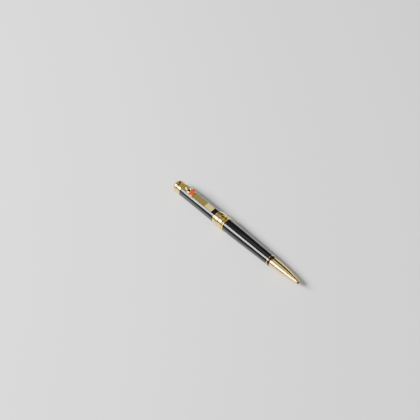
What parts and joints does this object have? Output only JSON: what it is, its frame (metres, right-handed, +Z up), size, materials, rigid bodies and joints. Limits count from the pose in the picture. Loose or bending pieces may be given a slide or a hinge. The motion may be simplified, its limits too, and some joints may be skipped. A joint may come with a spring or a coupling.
{
  "type": "rollerball pen",
  "caption": "Twist-action metal pen with a domed finial, a sprung strap clip with a badge, a ringed centre band, a lacquered barrel and a tapered nose that the refill slides through.",
  "frame": {"origin": "on the surface that the pen lies on, under the middle of its length", "axes": "+X along the pen toward the writing end, +Z up through the clip, +Y across"},
  "size_m": [0.1392, 0.0118, 0.0143],
  "materials": {
    "gold_plate": "polished gold plating on brass",
    "pale_gold": "polished pale gold plating",
    "black_lacquer": "deep gloss black lacquer on brass tube",
    "red_enamel": "glossy red-orange enamel",
    "bare_brass": "turned brass",
    "steel": "drawn steel",
    "nylon": "moulded nylon"
  },
  "bodies": {
    "lower_barrel": {"mechanism_housing": "bare_brass", "mechanism_cap": "nylon", "friction_washer": "nylon", "lower_band": "gold_plate", "rear_bushing": "bare_brass", "lower_barrel": "black_lacquer", "front_ring": "pale_gold", "front_collar": "black_lacquer", "front_bushing": "bare_brass", "nose_cone": "gold_plate", "return_spring": "steel"},
    "upper_barrel": {"finial_dome": "gold_plate", "finial_ring": "gold_plate", "finial_screw": "steel", "clip_collar": "bare_brass", "upper_barrel": "black_lacquer", "top_bushing": "bare_brass", "cam_sleeve": "bare_brass", "upper_band": "gold_plate"},
    "refill": {"plunger": "nylon", "follower_pin": "steel", "refill_tube": "steel", "refill_point": "pale_gold", "refill_ball": "steel", "refill_plug": "nylon"},
    "clip": {"clip_strap": "gold_plate", "badge_plate": "gold_plate", "badge_enamel": "red_enamel", "badge_eyelet": "pale_gold", "badge_bead": "pale_gold"}
  },
  "joints": [
    {"name": "barrel_twist", "type": "hinge", "parent": "lower_barrel", "child": "upper_barrel", "pos_m": [0, 0, 0.00595], "axis": [1, 0, 0], "range_deg": [0, 180]},
    {"name": "refill_slide", "type": "slide", "parent": "lower_barrel", "child": "refill", "axis": [1, 0, 0], "range_m": [0, 0.0045], "deforming": ["return_spring"]},
    {"name": "clip_flex", "type": "hinge", "parent": "upper_barrel", "child": "clip", "pos_m": [-0.06223, 0, 0.01015], "axis": [0, -1, 0], "range_deg": [0, 4], "stiffness_Nm_per_rad": 2, "springref_deg": -2.01}
  ],
  "couplings": [
    {"joint": "refill_slide", "follows": "barrel_twist", "m_per_rad": 0.001432}
  ]
}
